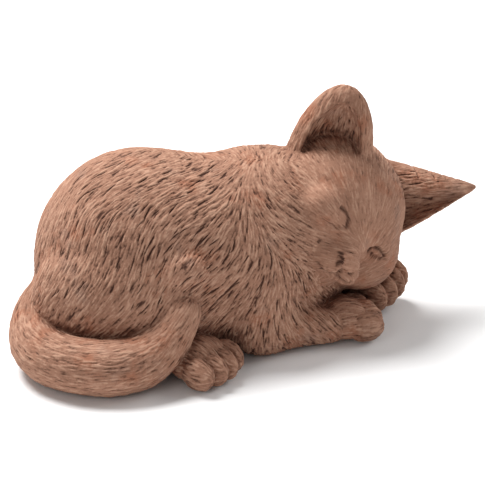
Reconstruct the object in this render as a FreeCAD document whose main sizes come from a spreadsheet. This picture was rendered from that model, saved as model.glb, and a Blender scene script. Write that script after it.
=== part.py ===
import FreeCAD, Part
import Sketcher
import os

# A sleeping cat in unglazed terracotta, made the way a hollow clay figure is made:
# two hollow shells (trunk and head) that meet in a neck collar, a base slab with a
# drying vent, and modelled pieces luted on: ears, tail, haunches, forelegs and paws.
# Millimetres. +X runs from the rump to the head, +Y to the cat's left, +Z is up.
# Coordinates in the tables below are counted from a point on the bench to the cat's
# right; the sheet's frame_shift cells move them to the part's own origin.

doc = FreeCAD.newDocument("sleeping_cat")
sheet = doc.addObject("Spreadsheet::Sheet", "Dims")
BLOCK_SIDE = 600.0   # side of the wide blocks that cut the clay at a level
BENCH_DEPTH = 200.0  # how far those blocks reach below the bench
next_row = 0


def drive(alias, number):
    """Write one driving dimension into the sheet under a name."""
    global next_row
    next_row += 1
    cell = "B%d" % next_row
    sheet.set("A%d" % next_row, alias)
    sheet.set(cell, repr(float(number)))
    sheet.setAlias(cell, alias)


def drive_all(name, tags, numbers):
    for tag, number in zip(tags, numbers):
        drive("%s_%s" % (name, tag), number)


# ---------------------------------------------------------------- driving dimensions

drive("frame_shift_x", 7.34)
drive("frame_shift_y", 79.99)
drive("wall", 8.0)              # wall of the trunk and of the head shell
drive("slab_thickness", 9.0)
drive("vent_radius", 10.0)
drive("neck_base_radius", 44.0)
drive("neck_end_radius", 34.0)
drive("neck_wall", 9.0)
drive("neck_length", 40.0)
drive("neck_bore_overrun", 10.0)  # how far the bore runs past the collar's end
drive_all("neck", ("cx", "cy", "cz", "pitch"), (8, 108, 79, -14))
drive_all("head", ("cx", "cy", "cz"), (65, 115, 84))
drive_all("head", ("yaw", "pitch", "roll"), (-81.4, 16.4, -46.5))
drive_all("ear", ("wall_side", "wall_top", "thickness", "cup_depth", "cup_shift", "cup_lift"),
          (5.5, 7.0, 16.0, 14.0, 11.0, 3.0))

# A clay mass is an ellipsoid: centre, half-lengths along its own axes, and the yaw,
# pitch and roll in degrees. Masses of the head and ears are placed in the head's axes
# (x out of the face, y to the cat's left, z to the crown).
MASS_TAGS = ("cx", "cy", "cz", "rx", "ry", "rz", "yaw", "pitch", "roll")
TRUNK_MASSES = {
    "rump": (-68, 90, 57, 75, 66, 77, 0, 0, 0),
    "belly": (-25, 97, 57, 62, 61, 67, 0, 0, 0),
    "shoulders": (12, 107, 65, 57, 55, 63, 0, 0, 0),
}
HAUNCH_MASSES = {
    "right_haunch": (-83, 54, 46, 64, 41, 50, 0, 0, 0),
    "left_haunch": (-80, 124, 43, 62, 38, 48, 0, 0, 0),
}
HEAD_MASSES = {
    "skull": (-6, 0, 4, 52, 51, 43, 0, 0, 0),
    "left_cheek": (10, 24, -12, 35, 31, 28, 0, 0, 0),
    "right_cheek": (10, -24, -12, 35, 31, 28, 0, 0, 0),
    "muzzle": (39, 0, -14, 21, 23, 18, 0, 0, 0),
    "nose_bridge": (32, 0, 6, 27, 13, 12, 0, 29, 0),
    "chin": (34, 0, -28, 16, 15, 11, 0, 0, 0),
    "left_eyelid": (34, 24, 5, 11, 14, 10, 0, 0, 0),
    "right_eyelid": (34, -27, 6, 11, 15, 11, 0, 0, 0),
    "nose_pad": (57, 0, -7, 5, 7, 5, 0, 0, 0),
}
EARS = {
    "right_ear": (-8, -28, 26, 30, 53, -106.9, 34.9, -1.1),
    "left_ear": (-8, 24, 26, 26, 74, -81.3, -54.3, -0.3),
}
LIMB_MASSES = {
    "right_foreleg": {
        "right_upper_arm": (12, 70, 42, 29, 29, 42, 0, 0, 0),
        "right_forearm": (34, 69, 18, 46, 19, 19, 12, 0, 0),
    },
    "left_foreleg": {
        "left_upper_arm": (17, 147, 40, 28, 27, 42, 0, 0, 0),
        "left_forearm": (50, 146, 21, 46, 19, 20, -10, 0, 0),
    },
}
# A paw is a pad (centre, half-lengths, yaw, roll) with four toes across its front.
PAWS = {
    "right_forepaw": (69, 87, 15.5, 21, 19, 16.5, 18, 3),
    "left_forepaw": (90, 135, 20, 20, 18, 17, -34.8, 11.3),
    "right_hind_paw": (-30, 28, 13, 21, 20, 14, -36.9, 0),
    "left_hind_paw": (-24, 149, 13, 24, 20, 15, 8.0, 0),
}
drive("toe_count", 4)
drive("toe_radius", 8.5)
drive("toe_stretch", 1.5)      # a toe's length over its width
drive("toe_forward", 0.72)     # the middle toes' place along the pad's half-length
drive("toe_set_back", 0.18)    # how much less of it for the outer toes
drive("toe_spread", 0.74)      # the outer toes' place across the pad's half-width
drive("toe_drop", 0.12)        # the toes' place below the pad's middle
drive("toe_height", 0.8)       # a toe's height over the pad's
# Stations along the tail's middle line, each with the tail's radius there.
TAIL = (
    (-104, 88, 52, 20), (-126, 66, 35, 20), (-135, 43, 21, 18.8), (-126, 21, 18.4, 18.3),
    (-107, 8, 18, 18), (-86, 4, 18, 18), (-66, 9, 20, 17), (-52, 19, 27, 15.5),
    (-43, 27.5, 37, 13.5), (-38, 32, 46, 11.5), (-36, 34, 53, 8), (-35.2, 35, 56.5, 3),
)

for group in (TRUNK_MASSES, HAUNCH_MASSES, HEAD_MASSES) + tuple(LIMB_MASSES.values()):
    for mass, numbers in group.items():
        drive_all(mass, MASS_TAGS, numbers)
for ear, numbers in EARS.items():
    drive_all(ear, ("cx", "cy", "cz", "rx", "rz", "yaw", "pitch", "roll"), numbers)
for paw, numbers in PAWS.items():
    drive_all(paw, ("cx", "cy", "cz", "rx", "ry", "rz", "yaw", "roll"), numbers)
for index, numbers in enumerate(TAIL):
    drive_all("tail_station%d" % index, ("cx", "cy", "cz", "radius"), numbers)
doc.recompute()


# ------------------------------------------------------------------------- helpers

def cell(alias):
    return float(sheet.get(alias))


def place(yaw="0", pitch="0", roll="0", centre=("0", "0", "0")):
    return "placement(vector(%s; %s; %s); rotation(%s; %s; %s))" % (tuple(centre) + (yaw, pitch, roll))


ROW_FRAME = place(centre=("-Dims.frame_shift_x", "-Dims.frame_shift_y", "0"))
HEAD_FRAME = ROW_FRAME + " * " + place(
    "Dims.head_yaw", "Dims.head_pitch", "Dims.head_roll",
    ("Dims.head_cx", "Dims.head_cy", "Dims.head_cz"))


def centre_of(name):
    return tuple("Dims.%s_%s" % (name, axis) for axis in ("cx", "cy", "cz"))


def ellipsoid(name, half, placing):
    """An ellipsoid with half-lengths (x, y, z) and a placement, all as expressions."""
    solid = doc.addObject("Part::Ellipsoid", name)
    solid.setExpression("Radius2", half[0])
    solid.setExpression("Radius3", half[1])
    solid.setExpression("Radius1", half[2])
    solid.setExpression("Placement", placing)
    return solid


def mass(name, carrier=ROW_FRAME, inset="0", suffix=""):
    """A clay mass from the tables, or the hollow inside it when an inset is given."""
    half = ["Dims.%s_%s - %s" % (name, axis, inset) for axis in ("rx", "ry", "rz")]
    turn = ["Dims.%s_%s" % (name, angle) for angle in ("yaw", "pitch", "roll")]
    return ellipsoid(name + suffix, half, carrier + " * " + place(*turn, centre=centre_of(name)))


def join(name, shapes):
    fused = doc.addObject("Part::MultiFuse", name)
    fused.Shapes = list(shapes)
    return fused


def subtract(name, base, *tools):
    """Cut each tool away in turn; the last cut carries the name."""
    for index, tool in enumerate(tools):
        last = index == len(tools) - 1
        cut = doc.addObject("Part::Cut", name if last else "%s_step%d" % (name, index + 1))
        cut.Base = base
        cut.Tool = tool
        base = cut
    return base


def block(name, low, high):
    """A wide flat block between two heights."""
    box = doc.addObject("Part::Box", name)
    box.Length = box.Width = BLOCK_SIDE
    box.setExpression("Height", "(%s) - (%s)" % (high, low))
    box.setExpression("Placement", place(centre=(str(-BLOCK_SIDE / 2), str(-BLOCK_SIDE / 2), low)))
    return box


bench = block("bench", str(-BENCH_DEPTH), "0")
below_slab_top = block("below_slab_top", str(-BENCH_DEPTH), "Dims.slab_thickness")
slab_layer = block("slab_layer", "0", "Dims.slab_thickness")


# ---------------------------------------------------------------- trunk and base slab

def neck_tube(name, base_radius, end_radius, lengthen):
    """The neck collar: a cone that leaves the shoulders and enters the head."""
    tube = doc.addObject("Part::Cone", name)
    tube.setExpression("Radius1", base_radius)
    tube.setExpression("Radius2", end_radius)
    tube.setExpression("Height", "Dims.neck_length + %s" % lengthen)
    tube.setExpression("Placement", ROW_FRAME + " * "
                       + place("0", "90 + Dims.neck_pitch", "0", centre_of("neck")))
    return tube


trunk_mass = join("trunk_mass", [mass(name) for name in TRUNK_MASSES]
                  + [neck_tube("neck_collar", "Dims.neck_base_radius", "Dims.neck_end_radius", "0")])
trunk_hollow = join("trunk_hollow", [mass(name, inset="Dims.wall", suffix="_hollow")
                                     for name in TRUNK_MASSES])
neck_bore = neck_tube("neck_bore", "Dims.neck_base_radius - Dims.neck_wall",
                      "Dims.neck_end_radius - Dims.neck_wall", "Dims.neck_bore_overrun")

subtract("torso_shell", trunk_mass, trunk_hollow, neck_bore, below_slab_top)

slab_blank = doc.addObject("Part::Common", "slab_blank")
slab_blank.Base = trunk_mass
slab_blank.Tool = slab_layer
vent = doc.addObject("Part::Cylinder", "vent")
vent.setExpression("Radius", "Dims.vent_radius")
vent.setExpression("Height", "Dims.slab_thickness * 3")
vent.setExpression("Placement", ROW_FRAME + " * "
                   + place(centre=("Dims.belly_cx", "Dims.belly_cy", "-Dims.slab_thickness")))
subtract("base_slab", slab_blank, vent)


# ------------------------------------------------------------------------------ head

head_mass = join("head_mass", [mass(name, HEAD_FRAME) for name in HEAD_MASSES])
skull_hollow = mass("skull", HEAD_FRAME, "Dims.wall", "_hollow")
subtract("head_shell", head_mass, skull_hollow, trunk_mass)


def ear_cup(name):
    """A curved ear: half an ellipsoid with a smaller one scooped out of its front."""
    turn = ["Dims.%s_%s" % (name, angle) for angle in ("yaw", "pitch", "roll")]
    seat = HEAD_FRAME + " * " + place(*turn, centre=centre_of(name))
    width = "Dims.%s_rx" % name
    length = "Dims.%s_rz" % name
    blank = ellipsoid(name + "_blank", (width, "Dims.ear_thickness", length), seat)
    blank.Angle1 = 0
    scoop = ellipsoid(
        name + "_scoop",
        (width + " - Dims.ear_wall_side", "Dims.ear_cup_depth", length + " - Dims.ear_wall_top"),
        seat + " * " + place(centre=("0", "Dims.ear_cup_shift", "Dims.ear_cup_lift")))
    subtract(name, blank, scoop, head_mass)


for ear in EARS:
    ear_cup(ear)


# ---------------------------------------------------------------------- limbs and tail

for name in HAUNCH_MASSES:
    subtract(name, mass(name, suffix="_mass"), trunk_mass, bench)

leg_masses = {}
for leg, masses in LIMB_MASSES.items():
    leg_masses[leg] = join(leg + "_mass", [mass(name) for name in masses])
    subtract(leg, leg_masses[leg], *trunk_mass.Shapes, head_mass, bench)


def tail_body():
    """The tail: a loft through round sections, each square to the tail's middle line."""
    body = doc.addObject("PartDesign::Body", "tail_body")
    plane = [feature for feature in body.Origin.OriginFeatures if feature.Role == "XY_Plane"][0]
    count = len(TAIL)
    middles = [FreeCAD.Vector(*[cell("tail_station%d_%s" % (index, axis)) for axis in ("cx", "cy", "cz")])
               for index in range(count)]
    sections = []
    for index, middle in enumerate(middles):
        along = middles[min(index + 1, count - 1)] - middles[max(index - 1, 0)]
        turn = FreeCAD.Rotation(FreeCAD.Vector(0, 0, 1), along)
        sketch = body.newObject("Sketcher::SketchObject", "tail_section%d" % index)
        sketch.AttachmentSupport = (plane, [""])
        sketch.MapMode = "FlatFace"
        sketch.AttachmentOffset = FreeCAD.Placement(middle, turn)
        sketch.addGeometry(Part.Circle(FreeCAD.Vector(0, 0, 0), FreeCAD.Vector(0, 0, 1), 10.0), False)
        sketch.addConstraint(Sketcher.Constraint("Coincident", 0, 3, -1, 1))
        sketch.addConstraint(Sketcher.Constraint("Radius", 0, 10.0))
        sketch.setExpression("Constraints[1]", "Dims.tail_station%d_radius" % index)
        sections.append(sketch)
    doc.recompute()
    loft = body.newObject("PartDesign::AdditiveLoft", "tail_loft")
    loft.Profile = sections[0]
    loft.Sections = sections[1:]
    body.setExpression("Placement", ROW_FRAME)
    return body


tail_mass = tail_body()
subtract("tail", tail_mass, trunk_mass,
         doc.getObject("right_haunch_mass"), doc.getObject("left_haunch_mass"), bench)


def paw_mass(name):
    """A pad with its row of toes; the outer toes stand a little further back."""
    seat = ROW_FRAME + " * " + place("Dims.%s_yaw" % name, "0", "Dims.%s_roll" % name, centre_of(name))
    half = ["Dims.%s_%s" % (name, axis) for axis in ("rx", "ry", "rz")]
    masses = [ellipsoid(name + "_pad", half, seat)]
    count = int(cell("toe_count"))
    for index in range(count):
        side = 2 * index / (count - 1) - 1
        centre = ("%s * (Dims.toe_forward - Dims.toe_set_back * %.4f)" % (half[0], side ** 2),
                  "%s * Dims.toe_spread * %.4f" % (half[1], side),
                  "-Dims.toe_drop * %s" % half[2])
        toe = ("Dims.toe_radius * Dims.toe_stretch", "Dims.toe_radius", "Dims.toe_height * %s" % half[2])
        masses.append(ellipsoid("%s_toe%d" % (name, index + 1), toe, seat + " * " + place(centre=centre)))
    return join(name + "_mass", masses)


paws = {
    "right_forepaw": (leg_masses["right_foreleg"], head_mass),
    "left_forepaw": (leg_masses["left_foreleg"], head_mass),
    "right_hind_paw": (*trunk_mass.Shapes, doc.getObject("right_haunch_mass"), tail_mass),
    "left_hind_paw": (*trunk_mass.Shapes, doc.getObject("left_haunch_mass")),
}
for name, neighbours in paws.items():
    subtract(name, paw_mass(name), *neighbours, bench)

doc.recompute()


# --------------------------------------------------------------------- check and write

NODES = (
    "torso_shell", "base_slab", "head_shell", "right_ear", "left_ear", "tail",
    "right_haunch", "left_haunch", "right_foreleg", "left_foreleg",
    "right_forepaw", "left_forepaw", "right_hind_paw", "left_hind_paw",
)

for item in doc.Objects:
    if "Invalid" in item.State or "Error" in item.State:
        raise RuntimeError("%s is %s" % (item.Name, item.State))

os.makedirs("parts", exist_ok=True)
for node in NODES:
    piece = doc.getObject(node)
    piece.Label = node
    shape = piece.Shape
    if shape.isNull() or not shape.isValid():
        raise RuntimeError("%s has no valid shape" % node)
    if len(shape.Solids) != 1:
        raise RuntimeError("%s is %d solids" % (node, len(shape.Solids)))
    print("%-16s %9.0f mm3" % (node, shape.Volume))
    shape.exportStep(os.path.join("parts", node + ".step"))
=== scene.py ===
# A sleeping cat modelled in unglazed terracotta. The clay is described once, as smooth
# distance fields in millimetres, one for each luted piece. A grid of samples gives every
# piece a closed mesh that shares its seam with its neighbours; the outer skin is then
# subdivided, and the fur is cut into it as real grooves that follow a direction field.
import math
import bpy
import numpy as np
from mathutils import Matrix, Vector


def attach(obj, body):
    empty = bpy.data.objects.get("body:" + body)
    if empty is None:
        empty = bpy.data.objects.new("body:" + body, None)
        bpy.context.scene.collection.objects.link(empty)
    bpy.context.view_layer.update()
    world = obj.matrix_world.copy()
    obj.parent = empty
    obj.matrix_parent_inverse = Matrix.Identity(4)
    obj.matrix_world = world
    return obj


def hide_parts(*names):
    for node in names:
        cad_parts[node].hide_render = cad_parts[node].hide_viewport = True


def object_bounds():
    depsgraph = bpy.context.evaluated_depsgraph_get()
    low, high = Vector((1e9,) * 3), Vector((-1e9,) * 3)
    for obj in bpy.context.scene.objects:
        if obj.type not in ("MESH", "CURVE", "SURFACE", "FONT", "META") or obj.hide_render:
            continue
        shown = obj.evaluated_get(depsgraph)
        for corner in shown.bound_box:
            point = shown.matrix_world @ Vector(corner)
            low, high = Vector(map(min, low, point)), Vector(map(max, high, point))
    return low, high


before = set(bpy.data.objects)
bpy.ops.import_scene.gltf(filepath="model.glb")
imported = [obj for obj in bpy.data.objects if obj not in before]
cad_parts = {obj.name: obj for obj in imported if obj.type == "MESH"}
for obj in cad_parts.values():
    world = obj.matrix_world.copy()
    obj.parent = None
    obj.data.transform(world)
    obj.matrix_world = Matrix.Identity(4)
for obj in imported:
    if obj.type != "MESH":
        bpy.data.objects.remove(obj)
CAD_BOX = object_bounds()

MM = 0.001
# the sculpting frame's origin, counted from the row's origin in millimetres
SHIFT = np.array([7.34, 79.99, 0.0])
WALL = 8.0
SLAB = 9.0
VENT_X, VENT_Y, VENT_RADIUS = -25.0, 97.0, 10.0
GRID = 2.0
LEVELS = 2

# ------------------------------------------------------------------ distance fields

def smin(a, b, k):
    """Smooth minimum: the clay of two masses runs together over about k mm."""
    h = np.maximum(k - np.abs(a - b), 0) / k
    return np.minimum(a, b) - h * h * h * k / 6.0


def smax(a, b, k):
    return -smin(-a, -b, k)


def blend(k, *fields):
    out = fields[0]
    for field in fields[1:]:
        out = smin(out, field, k)
    return out


def length(v):
    return np.sqrt(np.einsum("...i,...i->...", v, v))


def ell(p, c, r):
    """An ellipsoid with centre c and half-lengths r."""
    r = np.asarray(r, np.float32)
    q = (p - np.asarray(c, np.float32)) / r
    k0 = length(q)
    return k0 * (k0 - 1) / np.maximum(length(q / r), 1e-9)


def cone(p, a, b, ra, rb):
    """A round-ended cone from a to b."""
    a = np.asarray(a, np.float32)
    ab = np.asarray(b, np.float32) - a
    t = np.clip(((p - a) @ ab) / (ab @ ab), 0, 1)
    return length(p - a - t[..., None] * ab) - (ra + (rb - ra) * t)


def unit(v):
    v = np.asarray(v, float)
    return v / np.linalg.norm(v)


def head_axes(yaw, pitch, roll):
    """Rows: forward out of the face, the cat's left, the crown."""
    y, q, w = (math.radians(angle) for angle in (yaw, pitch, roll))
    forward = np.array([math.sin(y) * math.cos(q), -math.cos(y) * math.cos(q), -math.sin(q)])
    side = unit(np.cross([0, 0, 1], forward))
    crown = np.cross(forward, side)
    left = side * math.cos(w) - crown * math.sin(w)
    return np.array([forward, left, np.cross(forward, left)], np.float32)


HEAD_CENTRE = np.array([65, 115, 84], np.float32)
HEAD = head_axes(8.6, 16.4, 46.5)


def to_head(p):
    return (p - HEAD_CENTRE) @ HEAD.T


def ear_axes(side, splay, lean, out):
    """Rows: across the ear, out of its cup, from root to tip."""
    s = math.radians(splay)
    tip = unit([lean, side * math.sin(s), math.cos(s)])
    out = np.array(out)
    out = unit(out - tip * (out @ tip))
    return np.array([np.cross(out, tip), out, tip], np.float32)


EARS = {
    "right_ear": dict(root=(-9, -32, 21), axes=ear_axes(-1, 34, -0.15, (0.9, -0.42, 0.2)),
                      long=52, wide=29, rim=8.5, taper=0.1, fold=0),
    "left_ear": dict(root=(-7, 25, 25), axes=ear_axes(1, 46, -0.16, (0.75, -0.4, 0.45)),
                     long=72, wide=29, rim=4.0, taper=0.72, fold=11),
}


def to_ear(q, root, axes):
    return (q - np.array(root, np.float32)) @ axes.T


def ear_field(q, root, axes, long, wide, rim, taper, fold):
    e = to_ear(q, root, axes)
    # pinch the width towards the tip, so that the ellipsoid becomes a leaf
    t = np.clip(e[..., 2] / long, 0, 1.05)
    e[..., 0] /= 1.0 - taper * t
    shell = ell(e, (0, -3, 0), (wide, 16, long))
    # a folded ear's cup lies to one side, under the fold
    cup = ell(e, (-fold, 11, 1), (wide - rim - 0.8 * fold, 21, long - rim - 1))
    return smax(shell, -cup, 2.5) * 0.8


PAWS = {
    "right_forepaw": dict(centre=(70, 86, 13.5), aim=(0.9, 0.25), wide=21, high=13.5, long=17, tilt=0.0),
    "left_forepaw": dict(centre=(90, 135, 20), aim=(0.82, -0.57), wide=20, high=17, long=18, tilt=0.2),
    "right_hind_paw": dict(centre=(-30, 28, 13), aim=(0.8, -0.6), wide=21, high=14, long=20, tilt=0.0),
    "left_hind_paw": dict(centre=(-24, 151, 13), aim=(0.95, 0.1), wide=21, high=15, long=24, tilt=0.0),
}
TOES = 4
TOE_RADIUS = 8.5


def paw_axes(aim, tilt):
    ahead = unit([aim[0], aim[1], 0])
    side = unit(np.array([-ahead[1], ahead[0], tilt]))
    return np.array([ahead, side, np.cross(ahead, side)], np.float32)


def paw_field(p, centre, aim, wide, high, long, tilt):
    q = (p - np.asarray(centre, np.float32)) @ paw_axes(aim, tilt).T
    out = ell(q, (0, 0, 0), (long, wide, high))
    for toe in range(TOES):
        a = 2 * toe / (TOES - 1) - 1
        c = (long * (0.84 - 0.18 * a * a), a * wide * 0.76, -high * 0.12)
        out = smin(out, ell(q, c, (TOE_RADIUS * 1.5, TOE_RADIUS - 1.6, high * 0.8)), 1.2)
    return out


# Stations along the tail's middle line: a place and the tail's radius there.
TAIL = (
    (-112, 84, 46, 20), (-132, 62, 31, 19.5), (-136, 42, 21, 18.8), (-127, 21, 18.4, 18.4),
    (-108, 8, 18, 18), (-86, 4, 18, 18), (-66, 8, 20, 17.2), (-53, 16, 27, 15.8),
    (-45, 22, 36, 14), (-39, 26, 46, 12),
)


def even_curve(stations, spans):
    """Catmull-Rom points through the stations, spans to each gap."""
    knots = np.array(stations, float)
    knots = np.concatenate([2 * knots[:1] - knots[1:2], knots, 2 * knots[-1:] - knots[-2:-1]])
    t = (np.arange(spans) / spans)[:, None]
    out = []
    for a, b, c, d in zip(knots, knots[1:], knots[2:], knots[3:]):
        out.append(b + 0.5 * t * (c - a + t * (2 * a - 5 * b + 4 * c - d + t * (3 * b - a - 3 * c + d))))
    return np.concatenate(out + [knots[-2:-1]])


TAIL_CURVE = even_curve(TAIL, 3)


def tail_field(p):
    out = None
    for a, b in zip(TAIL_CURVE[:-1], TAIL_CURVE[1:]):
        span = cone(p, a[:3], b[:3], a[3], b[3])
        out = span if out is None else smin(out, span, 1.5)
    return out


def torso_field(p):
    trunk = blend(22, ell(p, (-68, 90, 57), (74, 68, 76.5)), ell(p, (-25, 98, 58), (60, 62, 66)),
                  ell(p, (12, 108, 66), (56, 56, 62)), ell(p, (36, 116, 36), (37, 34, 32)))
    return smin(trunk, cone(p, (10, 108, 80), (58, 112, 90), 44, 36), 16)


def head_field(q):
    skull = blend(10, ell(q, (-6, 0, 4), (50, 50, 42)), ell(q, (9, 28, -9), (33, 34, 30)),
                  ell(q, (9, -25, -12), (33, 29, 27)), ell(q, (39, 0, -14), (17, 21, 15)),
                  cone(q, (18, 0, 14), (44, 0, -2), 15, 9.5), ell(q, (33, 3, -27), (14, 16, 10)))
    eyes = blend(6, skull, ell(q, (31, 25, 8), (11, 12, 9)), ell(q, (28, -30, 6), (14, 14, 12)))
    return blend(3.5, eyes, ell(q, (48, 11, -13), (10, 10, 8.5)), ell(q, (48, -7, -15), (10, 10.5, 8.5)),
                 ell(q, (53.5, 2, -4), (6.5, 9, 6)))


NODES = ("torso_shell", "right_haunch", "left_haunch", "head_shell", "right_ear", "left_ear",
         "right_foreleg", "left_foreleg", "right_forepaw", "left_forepaw",
         "right_hind_paw", "left_hind_paw", "tail", "base_slab")
OUTSIDE, HOLLOW = 0, len(NODES) + 1
LABEL = {name: index + 1 for index, name in enumerate(NODES)}


def piece_fields(p):
    """One distance field for each modelled piece, in the order of NODES."""
    q = to_head(p)
    fields = [
        torso_field(p),
        smin(ell(p, (-79, 52, 46), (60, 38, 47)), ell(p, (-40, 36, 74), (18, 14, 12)), 8),
        ell(p, (-80, 126, 42), (60, 34, 46)),
        head_field(q),
        ear_field(q, **EARS["right_ear"]),
        ear_field(q, **EARS["left_ear"]),
        blend(14, cone(p, (8, 72, 62), (12, 64, 24), 32, 24),
              cone(p, (12, 64, 17), (60, 74, 12.5), 17, 11.5)),
        blend(10, cone(p, (8, 146, 60), (16, 152, 24), 30, 22),
              cone(p, (20, 150, 20), (76, 142, 21), 19, 17)),
    ]
    fields += [paw_field(p, **PAWS[name]) for name in NODES[8:12]]
    fields.append(tail_field(p))
    return fields


def whole_field(p, fields=None):
    """The finished clay body: every piece run into its neighbours."""
    (torso, right_haunch, left_haunch, head, right_ear, left_ear, right_leg, left_leg,
     right_fore, left_fore, right_hind, left_hind, tail) = fields or piece_fields(p)
    out = blend(4, torso, right_haunch, left_haunch)
    out = smin(out, np.minimum(right_leg, left_leg), 16)
    out = smin(out, head, 9)
    out = smin(out, np.minimum(right_ear, left_ear), 4)
    out = smin(out, np.minimum(right_fore, left_fore), 3)
    out = smin(out, np.minimum(right_hind, left_hind), 3)
    near_root = np.clip(1 - length(p - np.array([-118, 80, 45], np.float32)) / 60, 0, 1)
    out = smin(out, tail, 2 + 12 * near_root)
    return smax(out, -p[..., 2], 2.0)


def in_chunks(function, p, size=150000):
    return np.concatenate([function(p[i:i + size]) for i in range(0, len(p), size)])


def gradient(p, value, step=0.25):
    out = np.empty_like(p)
    for axis in range(3):
        moved = p.copy()
        moved[:, axis] += step
        out[:, axis] = (whole_field(moved) - value) / step
    return out


def onto_skin(p, level=0.0, limit=1.5):
    """One Newton step towards the surface."""
    value = whole_field(p)
    slope = gradient(p, value)
    move = (value - level)[:, None] * slope / np.maximum((slope * slope).sum(1, keepdims=True), 0.2)
    size = length(move)[:, None]
    return p - move * np.minimum(1, limit / np.maximum(size, 1e-6))


# ------------------------------------------------------------------- grid to meshes

def label_grid():
    """Sample the clay on a grid and name the piece that owns each sample."""
    low = np.array([v / MM for v in CAD_BOX[0]]) + SHIFT - (10, 10, 2.5 * GRID)
    high = np.array([v / MM for v in CAD_BOX[1]]) + SHIFT + 10
    low[2] = -1.5 * GRID + 0.01
    axes = [np.arange(a, b, GRID, dtype=np.float32) for a, b in zip(low, high)]
    p = np.stack(np.meshgrid(*axes, indexing="ij"), -1).reshape(-1, 3)

    def own(p):
        fields = piece_fields(p)
        skin = whole_field(p, fields)
        owner = np.argmin(np.array(fields), 0) + 1
        owner[(owner == LABEL["torso_shell"]) & (p[:, 2] < SLAB)] = LABEL["base_slab"]
        deep = (skin < -WALL) & (np.minimum(fields[0], fields[3]) < -WALL + 1.5) & (p[:, 2] > SLAB)
        vent = (np.hypot(p[:, 0] - VENT_X, p[:, 1] - VENT_Y) < VENT_RADIUS) & (p[:, 2] <= SLAB + GRID)
        owner[deep | vent] = HOLLOW
        owner[skin > 0] = OUTSIDE
        return owner.astype(np.int8)

    labels = in_chunks(own, p).reshape([len(a) for a in axes])
    return labels, np.array([a[0] for a in axes], np.float32)


def surface_nets(labels, origin):
    """One vertex in each cell that holds more than one label; one quad for each grid edge
    whose ends differ. Returns points, quads and the labels behind and before each quad."""
    shape = np.array(labels.shape)
    cells = shape - 1
    count = np.zeros(cells, np.uint8)
    total = np.zeros(tuple(cells) + (3,), np.float32)
    for axis in range(3):
        others = [a for a in range(3) if a != axis]
        low = [slice(None)] * 3
        high = [slice(None)] * 3
        low[axis], high[axis] = slice(0, -1), slice(1, None)
        differs = labels[tuple(low)] != labels[tuple(high)]
        for du in (0, 1):
            for dv in (0, 1):
                cut = [slice(None)] * 3
                cut[others[0]] = slice(du, du + cells[others[0]])
                cut[others[1]] = slice(dv, dv + cells[others[1]])
                crossing = differs[tuple(cut)]
                middle = np.zeros(3, np.float32)
                middle[axis], middle[others[0]], middle[others[1]] = 0.5, du, dv
                count += crossing
                total += crossing[..., None] * middle
    active = np.argwhere(count > 0)
    index = -np.ones(cells, np.int64)
    index[tuple(active.T)] = np.arange(len(active))
    offset = total[tuple(active.T)] / count[tuple(active.T)][:, None]
    points = origin + (active + offset) * GRID
    quads, behind, before = [], [], []
    for axis in range(3):
        u, v = (axis + 1) % 3, (axis + 2) % 3
        low = [slice(1, -1)] * 3
        high = [slice(1, -1)] * 3
        low[axis], high[axis] = slice(0, -1), slice(1, None)
        a, b = labels[tuple(low)], labels[tuple(high)]
        spots = np.argwhere(a != b)
        corner = spots.copy()
        corner[:, u] += 1
        corner[:, v] += 1
        ring = []
        for du, dv in ((-1, -1), (0, -1), (0, 0), (-1, 0)):
            c = corner.copy()
            c[:, u] += du
            c[:, v] += dv
            ring.append(index[tuple(c.T)])
        quads.append(np.stack(ring, 1))
        behind.append(a[a != b])
        before.append(b[a != b])
    return points.astype(np.float32), np.concatenate(quads), np.concatenate(behind), np.concatenate(before)


def smooth(points, quads, movable, passes, project):
    """Even out the net: each movable point drifts to its neighbours' mean."""
    ends = np.concatenate([quads[:, [0, 1]], quads[:, [1, 2]], quads[:, [2, 3]], quads[:, [3, 0]]])
    ends = np.unique(np.sort(ends, 1), axis=0)
    degree = np.bincount(ends.ravel(), minlength=len(points)).astype(np.float32)
    for _ in range(passes):
        mean = np.zeros_like(points)
        for axis in range(3):
            mean[:, axis] = (np.bincount(ends[:, 0], points[ends[:, 1], axis], len(points))
                             + np.bincount(ends[:, 1], points[ends[:, 0], axis], len(points)))
        mean /= np.maximum(degree, 1)[:, None]
        points[movable] += 0.6 * (mean - points)[movable]
        if project:
            points[movable] = in_chunks(onto_skin, points[movable])
    return points


def subdivide(values, quads):
    """Split each quad in four. Returns the values, the quads and the sorted edge keys."""
    ends = np.stack([quads, np.roll(quads, -1, 1)], -1).reshape(-1, 2)
    ends.sort(axis=1)
    keys, slot = np.unique(ends[:, 0] * (1 << 32) + ends[:, 1], return_inverse=True)
    first_edge = len(values)
    middles = 0.5 * (values[keys >> 32] + values[keys & 0xffffffff])
    centres = values[quads].mean(1)
    edge = first_edge + slot.reshape(-1, 4)
    centre = first_edge + len(keys) + np.arange(len(quads))
    split = np.stack([np.stack([quads[:, i], edge[:, i], centre, edge[:, i - 1]], 1) for i in range(4)], 1)
    return np.concatenate([values, middles, centres]), split.reshape(-1, 4), (keys, first_edge)


def vertex_normals(points, quads):
    a, b = points[quads[:, 2]] - points[quads[:, 0]], points[quads[:, 3]] - points[quads[:, 1]]
    face = np.cross(a, b)
    out = np.empty_like(points)
    for axis in range(3):
        weight = np.repeat(face[:, axis], 4)
        out[:, axis] = np.bincount(quads.ravel(), weight, len(points))
    return out / np.maximum(length(out), 1e-9)[:, None]


# -------------------------------------------------------------------- fur direction

VIEW = np.array([0, math.cos(math.radians(24)), -math.sin(math.radians(24))])
MIRROR_Y = 95.0   # the far flank repeats the near one across this plane

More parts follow.
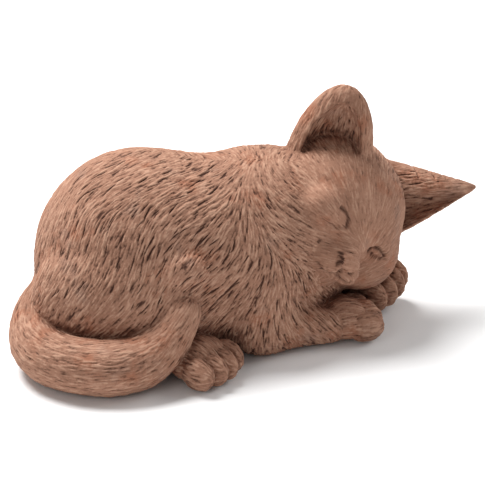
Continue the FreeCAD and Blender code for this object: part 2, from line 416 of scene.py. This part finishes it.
# Where the fur lies on the near side: a place on the clay, the lie of the hair in degrees
# seen from that side (0 towards the head, 90 upwards), and how boldly it is cut (0 to 1).
LIE = (
    (-75, 75, 130, 22, 0.5), (-85, 60, 125, 34, 0.4), (-120, 65, 100, 62, 0.15),
    (-122, 45, 90, 78, 0.15), (-115, 25, 60, 55, 0.3), (-80, 15, 45, 35, 0.2),
    (-80, 25, 80, 70, 0.4), (-50, 30, 95, 72, 0.5), (-55, 25, 70, 86, 0.9),
    (-30, 70, 120, 20, 1.0), (-25, 55, 110, 24, 1.0), (-35, 45, 105, 32, 0.9),
    (-40, 25, 65, 32, 1.0), (-25, 30, 45, 40, 0.9), (5, 40, 65, 40, 1.0),
    (0, 40, 50, 40, 0.8), (0, 50, 95, 85, 0.2), (15, 65, 110, 105, 0.05),
    (-10, 90, 125, 40, 0.0), (20, 45, 60, 92, 1.0), (30, 60, 95, 150, 0.1),
    (35, 55, 75, 175, 0.15), (30, 50, 45, 95, 0.8), (10, 40, 25, 80, 0.6),
    (40, 55, 20, 145, 0.3), (60, 60, 15, 140, 0.3), (30, 65, 105, 155, 0.1),
    (40, 75, 110, 140, 0.1),
)
# The same for the head.
HEAD_LIE = (
    (50, 90, 120, 130, 0.25), (70, 85, 120, 108, 0.35), (90, 90, 115, 82, 0.25),
    (105, 95, 90, 64, 0.2), (70, 75, 105, 100, 0.1), (50, 65, 105, 150, 0.1),
    (40, 60, 80, 165, 0.2), (95, 80, 75, 50, 0.2), (70, 60, 65, 170, 0.1),
    (60, 55, 70, 178, 0.15), (90, 90, 45, 20, 0.15), (60, 70, 50, 5, 0.2),
)


def lie_of(p, normal, table, spread):
    """Weighted mean of the table's directions, laid into the surface."""
    table = np.array(table, np.float32)
    angle = np.radians(table[:, 3])
    aim = np.stack([np.cos(angle), 0.407 * np.sin(angle), 0.914 * np.sin(angle)], 1)
    gap = ((p[:, None, :] - table[None, :, :3]) ** 2).sum(-1)
    weight = np.exp(-(gap - gap.min(1, keepdims=True)) / (2 * spread * spread))
    weight /= weight.sum(1, keepdims=True)
    mean = weight @ aim
    facing = normal @ VIEW
    facing = -np.maximum(np.abs(facing), 0.3)
    mean -= VIEW * ((mean * normal).sum(1) / facing)[:, None]
    return mean, weight @ table[:, 4]


def fur_lie(p, normal, owner):
    """Direction of the hair and boldness of its cutting at every skin point."""
    far = (p[:, 1] > MIRROR_Y)[:, None]
    flip = np.array([1, -1, 1], np.float32)
    seen = np.where(far, p * flip + np.array([0, 2 * MIRROR_Y, 0]), p)
    lie, bold = lie_of(seen, np.where(far, normal * flip, normal), LIE, 16.0)
    lie = np.where(far, lie * flip, lie)
    on = owner == LABEL["head_shell"]
    lie[on], bold[on] = lie_of(p[on], normal[on], HEAD_LIE, 14.0)
    bold[on] = np.where((to_head(p[on])[:, 0] > 8), -1.0, -0.4)
    for name, ear in EARS.items():
        on = owner == LABEL[name]
        lie[on] = ear["axes"][2] @ HEAD
        # bold hair inside the cup near its root, a soft coat elsewhere
        e = to_ear(to_head(p[on]), ear["root"], ear["axes"])
        cupped = (normal[on] @ (ear["axes"][1] @ HEAD) > 0.2) & (e[:, 2] < 0.55 * ear["long"])
        bold[on] = np.where(cupped & (np.abs(e[:, 0]) < 0.6 * ear["wide"]), 0.7, -0.5)
    for name, paw in PAWS.items():
        on = owner == LABEL[name]
        lie[on] = paw_axes(paw["aim"], paw["tilt"])[0]
        bold[on] = -0.2
    on = owner == LABEL["tail"]
    centres = TAIL_CURVE[:, :3].astype(np.float32)
    along = np.gradient(centres, axis=0)
    gap = ((p[on][:, None, :] - centres[None]) ** 2).sum(-1)
    weight = np.exp(-(gap - gap.min(1, keepdims=True)) / 500.0)
    lie[on] = weight @ along
    bold[on] = -0.3
    lie -= normal * (lie * normal).sum(1, keepdims=True)
    return lie / np.maximum(length(lie), 1e-6)[:, None], bold


# ------------------------------------------------------------------- fur as grooves

rng = np.random.default_rng(11)
CHANCE = rng.random((64, 64, 64)).astype(np.float32)
JITTER = rng.random((64, 64, 64, 7)).astype(np.float32)


def lattice(q):
    """Smooth value noise, 0 to 1, on a unit lattice."""
    cell = np.floor(q).astype(np.int32)
    f = q - cell
    f = f * f * (3 - 2 * f)
    out = 0.0
    for dx in (0, 1):
        wx = f[:, 0] if dx else 1 - f[:, 0]
        for dy in (0, 1):
            wy = f[:, 1] if dy else 1 - f[:, 1]
            for dz in (0, 1):
                wz = f[:, 2] if dz else 1 - f[:, 2]
                out = out + wx * wy * wz * CHANCE[(cell[:, 0] + dx) & 63, (cell[:, 1] + dy) & 63,
                                                  (cell[:, 2] + dz) & 63]
    return out


def streaks(p, lie, reach, grain, steps=9):
    """Noise smeared along the hair: fine combed lines."""
    total = 0.0
    for t in np.linspace(-reach, reach, steps):
        total = total + lattice((p + lie * t) / grain + 17.3)
    return total / steps


def strokes(p, normal, lie, cell, reach, width, share, seed, wander=0.25):
    """Separate tool strokes: scattered in a grid of cells, each a lens-shaped groove."""
    side = np.cross(normal, lie)
    base = np.floor(p / cell).astype(np.int32)
    out = np.zeros(len(p), np.float32)
    for dx in (-1, 0, 1):
        for dy in (-1, 0, 1):
            for dz in (-1, 0, 1):
                at = base + (dx, dy, dz)
                rnd = JITTER[(at[:, 0] + seed) & 63, (at[:, 1] + 3 * seed) & 63, (at[:, 2] + 7 * seed) & 63]
                r = p - (at + rnd[:, :3]) * cell
                keep = rnd[:, 3] < share
                turn = (rnd[:, 4] - 0.5) * 2 * wander
                a = (r * lie).sum(1)
                b = (r * side).sum(1)
                a, b = a + turn * b, b - turn * a
                off = np.abs((r * normal).sum(1)) / (0.5 * cell)
                along = a / (reach * (0.45 + 0.55 * rnd[:, 5]))
                across = b / (width * (0.7 + 0.6 * rnd[:, 6]))
                cut = np.maximum(1 - along * along, 0) * np.maximum(1 - across * across, 0)
                cut *= np.clip(2.5 * (1 - off), 0, 1) * keep * (0.5 + 0.5 * rnd[:, 6])
                out = np.maximum(out, cut)
    return out


# Single tool cuts on the face, drawn as seen from in front of it: a half-width, a depth,
# and the points (to the cat's left, to the crown) that the cut runs through.
FACE_CUTS = (
    (1.4, 0.8, (-14, 10), (-16, 14), (-20, 16), (-25, 16)),             # right eye: inner corner
    (1.3, 0.4, (-15, 8), (-19, 4), (-25, 2), (-34, 3)),                # right eye: where the lids meet
    (1.4, 0.8, (13, 8), (16, 11), (21, 12.5), (27, 11)),                 # left eye: upper lid
    (2.0, 0.6, (15, 7), (19, 6), (24, 6.5), (28, 9)),                 # left eye: where the lids meet
    (1.8, 0.9, (-6.5, -4), (-4, -8.5)), (1.7, 0.85, (10, -4), (8, -8)),   # nostrils
    (1.5, 0.75, (2, -9), (2, -15), (6, -17), (12, -16), (19, -11)),     # mouth, left side
    (1.5, 0.65, (2, -15), (-2, -18), (-8, -20), (-14, -19)),             # mouth, right side
)
FACE_DEPTH = 2.6   # of a full cut
FACE_FROM = 18.0   # the cuts lie on the part of the head that is further forward
EAR_CUTS = (24, 37, 47, 56)   # short cuts across the upper edge of the left ear


def carve(p):
    """How deep the single cuts go at each point, 0 to 1."""
    q = to_head(p)
    front = np.clip((q[:, 0] - FACE_FROM) / 4.0, 0, 1)
    seen = q[:, 1:]
    out = np.zeros(len(p), np.float32)
    for width, depth, *route in FACE_CUTS:
        for a, b in zip(route, route[1:]):
            cut = np.clip(1.25 - cone(seen, a, b, 0, 0) / (1.2 * width), 0, 1)
            out = np.maximum(out, depth * cut * front)
    ear = EARS["left_ear"]
    e = to_ear(q, ear["root"], ear["axes"])
    edge = np.clip((e[:, 0] - 0.45 * ear["wide"] * (1 - ear["taper"] * e[:, 2] / ear["long"])) / 3.0, 0, 1)
    for place in EAR_CUTS:
        out = np.maximum(out, 0.9 * edge * np.clip(1.3 - np.abs(e[:, 2] - place) / 0.8, 0, 1))
    return out


def cut_fur(p, normal, lie, bold):
    """Displacement in mm (negative is into the clay), the groove mask, which the material darkens as
    painted shade, and the combing, whose raised ridges it paints paler as a painted highlight.

    A boldness below zero is a softer coat: no long cuts and a shallower combing."""
    soft = 1 + 0.35 * np.minimum(bold, 0)
    bold = np.maximum(bold, 0)
    fine = streaks(p, lie, 2.2, 0.75)
    broad = streaks(p, lie, 5.5, 1.5)
    medium = strokes(p, normal, lie, 3.4, 3.4, 0.48, 0.1 * soft + 0.6 * bold, 5)
    deep = strokes(p, normal, lie, 6.4, 9.0, 0.58, 0.75 * bold, 23)
    comb = np.clip((fine - 0.5) * 6.5, -1, 1) * 0.8 + np.clip((broad - 0.5) * 6.0, -1, 1) * 0.3
    comb *= soft
    height = 0.42 * comb - 0.4 * medium - 1.0 * deep
    lumps = lattice(p / 14.0) + 0.5 * lattice(p / 6.0) - 0.75
    height += 0.6 * lumps
    carved = carve(p)
    height -= FACE_DEPTH * carved
    # groove marks the cuts, strokes and combing troughs, which the material darkens as painted shade
    groove = np.clip(0.75 * np.clip(-comb, 0, 1) + 0.6 * medium + 1.1 * deep + 0.7 * carved, 0, 1)
    return height, groove, comb


# ------------------------------------------------------------------ building the cat

def build_cat():
    labels, origin = label_grid()
    points, quads, behind, before = surface_nets(labels, origin)
    skin_face = (behind == OUTSIDE) | (before == OUTSIDE)
    clay_face = ((behind != OUTSIDE) & (behind != HOLLOW)) | ((before != OUTSIDE) & (before != HOLLOW))
    quads, behind, before, skin_face = (a[clay_face] for a in (quads, behind, before, skin_face))
    flip = behind == OUTSIDE
    quads[flip] = quads[flip][:, ::-1]
    behind, before = np.where(flip, before, behind), np.where(flip, behind, before)
    flip = behind == HOLLOW
    quads[flip] = quads[flip][:, ::-1]
    behind, before = np.where(flip, before, behind), np.where(flip, behind, before)
    skin_quads = quads[skin_face]
    on_skin = np.zeros(len(points), bool)
    on_skin[skin_quads] = True
    inner = np.zeros(len(points), bool)
    inner[quads[~skin_face]] = True
    inner &= ~on_skin
    points[on_skin] = in_chunks(onto_skin, points[on_skin])
    points = smooth(points, skin_quads, on_skin, 2, True)
    points[on_skin] = in_chunks(onto_skin, points[on_skin])
    points = smooth(points, quads[~skin_face], inner, 4, False)

    # coarse attributes carried down to the fine skin
    owner_face = behind[skin_face]
    normal = vertex_normals(points, skin_quads)
    owner = np.zeros(len(points), np.int16)
    owner[skin_quads] = owner_face[:, None]
    lie = np.zeros_like(points)
    bold = np.zeros(len(points), np.float32)
    lie[on_skin], bold[on_skin] = fur_lie(points[on_skin], normal[on_skin], owner[on_skin])
    # shade is painted shade: the clay is darker where it closes in around a point within 4 and 10 mm, in
    # recesses, creases and ear cups
    shade = np.zeros(len(points), np.float32)
    for reach in (4.0, 10.0):
        room = in_chunks(whole_field, (points + normal * reach)[on_skin]) / reach
        shade[on_skin] += 0.5 * np.clip(1 - room, 0, 1)
    values = np.concatenate([points, lie, bold[:, None], shade[:, None]], 1).astype(np.float32)
    skin = skin_quads
    edges = []
    for level in range(LEVELS):
        values, skin, table = subdivide(values, skin)
        edges.append(table)
        used = np.unique(skin)
        values[used, :3] = in_chunks(onto_skin, values[used, :3])
    points = np.ascontiguousarray(values[:, :3])
    lie = values[:, 3:6]
    bold, shade = values[:, 6], values[:, 7]
    normal = vertex_normals(points, skin)
    lie = lie - normal * (lie * normal).sum(1, keepdims=True)
    lie /= np.maximum(length(lie), 1e-6)[:, None]
    used = np.unique(skin)
    height = np.zeros(len(points), np.float32)
    groove = np.zeros(len(points), np.float32)
    comb = np.zeros(len(points), np.float32)
    height[used], groove[used], comb[used] = cut_fur(points[used], normal[used], lie[used], bold[used])
    flat = np.clip(points[:, 2] / 2.0, 0, 1)
    points += normal * (height * flat)[:, None]
    return dict(points=points, skin=skin, owner=np.repeat(owner_face, 4 ** LEVELS),
                inside=quads[~skin_face], behind=behind[~skin_face], before=before[~skin_face],
                edges=edges, groove=groove, shade=shade, comb=comb)


def edge_chain(a, b, edges, level=0):
    """The points that subdivision has put on the coarse edge from a to b, a included."""
    if level == len(edges):
        return [a]
    keys, first = edges[level]
    key = (min(a, b) << 32) + max(a, b)
    spot = int(np.searchsorted(keys, key))
    if spot == len(keys) or keys[spot] != key:
        return [a]
    middle = first + spot
    return edge_chain(a, middle, edges, level + 1) + edge_chain(middle, b, edges, level + 1)


def make_mesh(name, points, faces, attributes):
    """A mesh from equal quads and a list of other polygons."""
    quads, others = faces
    sizes = np.concatenate([np.full(len(quads), 4), [len(f) for f in others]]).astype(np.int32)
    loops = np.concatenate([quads.ravel()] + [np.array(f) for f in others]).astype(np.int64)
    used, loops = np.unique(loops, return_inverse=True)
    mesh = bpy.data.meshes.new(name)
    mesh.vertices.add(len(used))
    where = ((points[used] - SHIFT) * MM).astype(np.float32)
    mesh.vertices.foreach_set("co", where.ravel())
    mesh.loops.add(len(loops))
    mesh.loops.foreach_set("vertex_index", loops.astype(np.int32))
    mesh.polygons.add(len(sizes))
    starts = np.concatenate([[0], np.cumsum(sizes)[:-1]]).astype(np.int32)
    mesh.polygons.foreach_set("loop_start", starts)
    mesh.polygons.foreach_set("use_smooth", np.ones(len(sizes), bool))
    mesh.update(calc_edges=True)
    for key, value in attributes.items():
        layer = mesh.attributes.new(key, "FLOAT", "POINT")
        layer.data.foreach_set("value", value[used].astype(np.float32))
    return mesh, used


def build_pieces(cat, materials):
    normal = vertex_normals(cat["points"], cat["skin"])
    attributes = {key: cat[key] for key in ("groove", "shade", "comb")}
    pieces = []
    for name in NODES:
        label = LABEL[name]
        skin = cat["skin"][cat["owner"] == label]
        own = cat["inside"][cat["behind"] == label]
        facing = cat["inside"][cat["before"] == label][:, ::-1]
        walls = np.concatenate([own, facing])
        polygons = []
        for quad in walls.tolist():
            ring = []
            for i in range(4):
                ring += edge_chain(quad[i], quad[(i + 1) % 4], cat["edges"])
            polygons.append(ring)
        mesh, used = make_mesh(name + "_clay", cat["points"], (skin, polygons), attributes)
        shown = normal[used]
        bare = length(shown) < 0.5
        if bare.any():
            plain = np.empty(len(used) * 3, np.float32)
            mesh.vertex_normals.foreach_get("vector", plain)
            shown[bare] = plain.reshape(-1, 3)[bare]
        mesh.normals_split_custom_set_from_vertices(shown.astype(float).tolist())
        piece = bpy.data.objects.new(name + "_clay", mesh)
        bpy.context.collection.objects.link(piece)
        slot = "terracotta_base" if name == "base_slab" else "terracotta"
        mesh.materials.append(materials[slot])
        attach(piece, "root")
        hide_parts(name)
        pieces.append(piece)
    return pieces


# ------------------------------------------------------------------------- materials

def srgb(r, g, b):
    """Linear colour from display values out of 255."""
    out = []
    for v in (r, g, b):
        v /= 255.0
        out.append(v / 12.92 if v <= 0.04045 else ((v + 0.055) / 1.055) ** 2.4)
    return tuple(out) + (1.0,)


class Nodes:
    """Short calls for a node material."""

    def __init__(self, name):
        self.material = bpy.data.materials.new(name)
        self.material.use_nodes = True
        self.tree = self.material.node_tree
        self.shader = self.tree.nodes["Principled BSDF"]
        self.place = self.tree.nodes.new("ShaderNodeTexCoord").outputs["Object"]

    def link(self, source, target):
        self.tree.links.new(source, target)

    def attribute(self, name):
        node = self.tree.nodes.new("ShaderNodeAttribute")
        node.attribute_name = name
        return node.outputs["Fac"]

    def noise(self, scale, detail=3.0, rough=0.55):
        node = self.tree.nodes.new("ShaderNodeTexNoise")
        node.inputs["Scale"].default_value = scale
        node.inputs["Detail"].default_value = detail
        node.inputs["Roughness"].default_value = rough
        self.link(self.place, node.inputs["Vector"])
        return node.outputs["Fac"]

    def ramp(self, value, *stops):
        node = self.tree.nodes.new("ShaderNodeMapRange")
        node.interpolation_type = "SMOOTHSTEP"
        node.inputs["From Min"].default_value, node.inputs["From Max"].default_value = stops
        self.link(value, node.inputs["Value"])
        return node.outputs["Result"]

    def math(self, operation, a, b):
        node = self.tree.nodes.new("ShaderNodeMath")
        node.operation = operation
        for value, socket in ((a, node.inputs[0]), (b, node.inputs[1])):
            if isinstance(value, (int, float)):
                socket.default_value = value
            else:
                self.link(value, socket)
        return node.outputs[0]

    def mix(self, share, a, b):
        node = self.tree.nodes.new("ShaderNodeMix")
        node.data_type = "RGBA"
        self.link(share, node.inputs["Factor"])
        colours = [s for s in node.inputs if s.type == "RGBA"]
        for value, socket in zip((a, b), colours):
            if isinstance(value, tuple):
                socket.default_value = value
            else:
                self.link(value, socket)
        return [s for s in node.outputs if s.type == "RGBA"][0]

    def bump(self, height, distance, strength=1.0, below=None):
        node = self.tree.nodes.new("ShaderNodeBump")
        node.inputs["Strength"].default_value = strength
        node.inputs["Distance"].default_value = distance
        self.link(height, node.inputs["Height"])
        if below is not None:
            self.link(below, node.inputs["Normal"])
        return node.outputs["Normal"]


def terracotta(name):
    n = Nodes(name)
    clay = n.mix(n.ramp(n.noise(28, 3), 0.35, 0.65), srgb(148, 108, 88), srgb(160, 119, 98))
    warm = n.ramp(n.noise(45, 4), 0.52, 0.70)
    clay = n.mix(n.math("MULTIPLY", warm, 0.55), clay, srgb(152, 94, 68))
    grey = n.ramp(n.noise(38, 3, 0.6), 0.58, 0.74)
    clay = n.mix(n.math("MULTIPLY", grey, 0.35), clay, srgb(138, 115, 103))
    speck = n.ramp(n.noise(420, 2, 0.5), 0.56, 0.72)
    clay = n.mix(n.math("MULTIPLY", speck, 0.30), clay, srgb(108, 72, 56))
    # painted shade: recesses and creases darkened from the shade attribute
    painted_recess_shade = n.ramp(n.attribute("shade"), 0.15, 0.8)
    clay = n.mix(n.math("MULTIPLY", painted_recess_shade, 0.75), clay, srgb(98, 58, 42))
    # painted highlight: the raised ridges of the combing are painted paler
    pale = n.ramp(n.attribute("comb"), -0.1, 0.9)
    clay = n.mix(n.math("MULTIPLY", pale, 0.55), clay, srgb(200, 160, 136))
    # painted shade: the cut grooves, tool strokes, combing troughs and face cuts are darkened
    groove = n.ramp(n.attribute("groove"), 0.12, 0.85)
    clay = n.mix(n.math("MULTIPLY", groove, 0.9), clay, srgb(58, 32, 24))
    n.link(clay, n.shader.inputs["Base Color"])
    n.shader.inputs["Roughness"].default_value = 0.93
    n.shader.inputs["Specular IOR Level"].default_value = 0.25
    grain = n.bump(n.noise(1500, 2, 0.6), 0.00025, 0.5)
    grain = n.bump(n.noise(350, 3, 0.6), 0.0006, 0.35, grain)
    n.link(grain, n.shader.inputs["Normal"])
    return n.material


# ------------------------------------------------------------------------- the stage

def build_stage():
    bpy.ops.mesh.primitive_plane_add(size=6.0, location=(0, 0, -0.0002))
    floor = bpy.context.object
    floor.name = "floor"
    n = Nodes("pale_floor")
    n.shader.inputs["Base Color"].default_value = (0.9, 0.9, 0.9, 1)
    n.shader.inputs["Roughness"].default_value = 0.9
    floor.data.materials.append(n.material)
    world = bpy.data.worlds.new("studio")
    bpy.context.scene.world = world
    world.use_nodes = True
    background = world.node_tree.nodes["Background"]
    background.inputs["Color"].default_value = (1, 1, 1, 1)
    background.inputs["Strength"].default_value = 0.30
    for name, place, size, power in (
            ("key", (-0.75, 0.55, 1.7), 1.1, 60.0),
            ("fill", (-0.9, -1.3, 0.9), 1.0, 3.5),
            ("side", (1.3, 0.3, 1.0), 1.0, 8.0)):
        light = bpy.data.lights.new(name, "AREA")
        light.shape = "DISK"
        light.size = size
        light.energy = power
        lamp = bpy.data.objects.new(name, light)
        lamp.location = place
        lamp.rotation_euler = (Vector((0, 0, 0.06)) - Vector(place)).to_track_quat("-Z", "Y").to_euler()
        bpy.context.collection.objects.link(lamp)


def build_camera():
    """Looks along +Y and 24 degrees down on the cat from a metre away."""
    target = Vector(((np.array([0, 70, 77]) - SHIFT) * MM).tolist())
    tilt = math.radians(24)
    camera = bpy.data.cameras.new("camera")
    camera.sensor_width = 36.0
    camera.lens = 111.3
    view = bpy.data.objects.new("camera", camera)
    view.location = target + Vector((0, -math.cos(tilt), math.sin(tilt)))
    view.rotation_euler = (target - view.location).to_track_quat("-Z", "Y").to_euler()
    bpy.context.collection.objects.link(view)
    bpy.context.scene.camera = view


bpy.context.scene.view_settings.view_transform = "Standard"
build_camera()
build_stage()
MATERIALS = {slot: terracotta(slot) for slot in ("terracotta", "terracotta_base")}
build_pieces(build_cat(), MATERIALS)
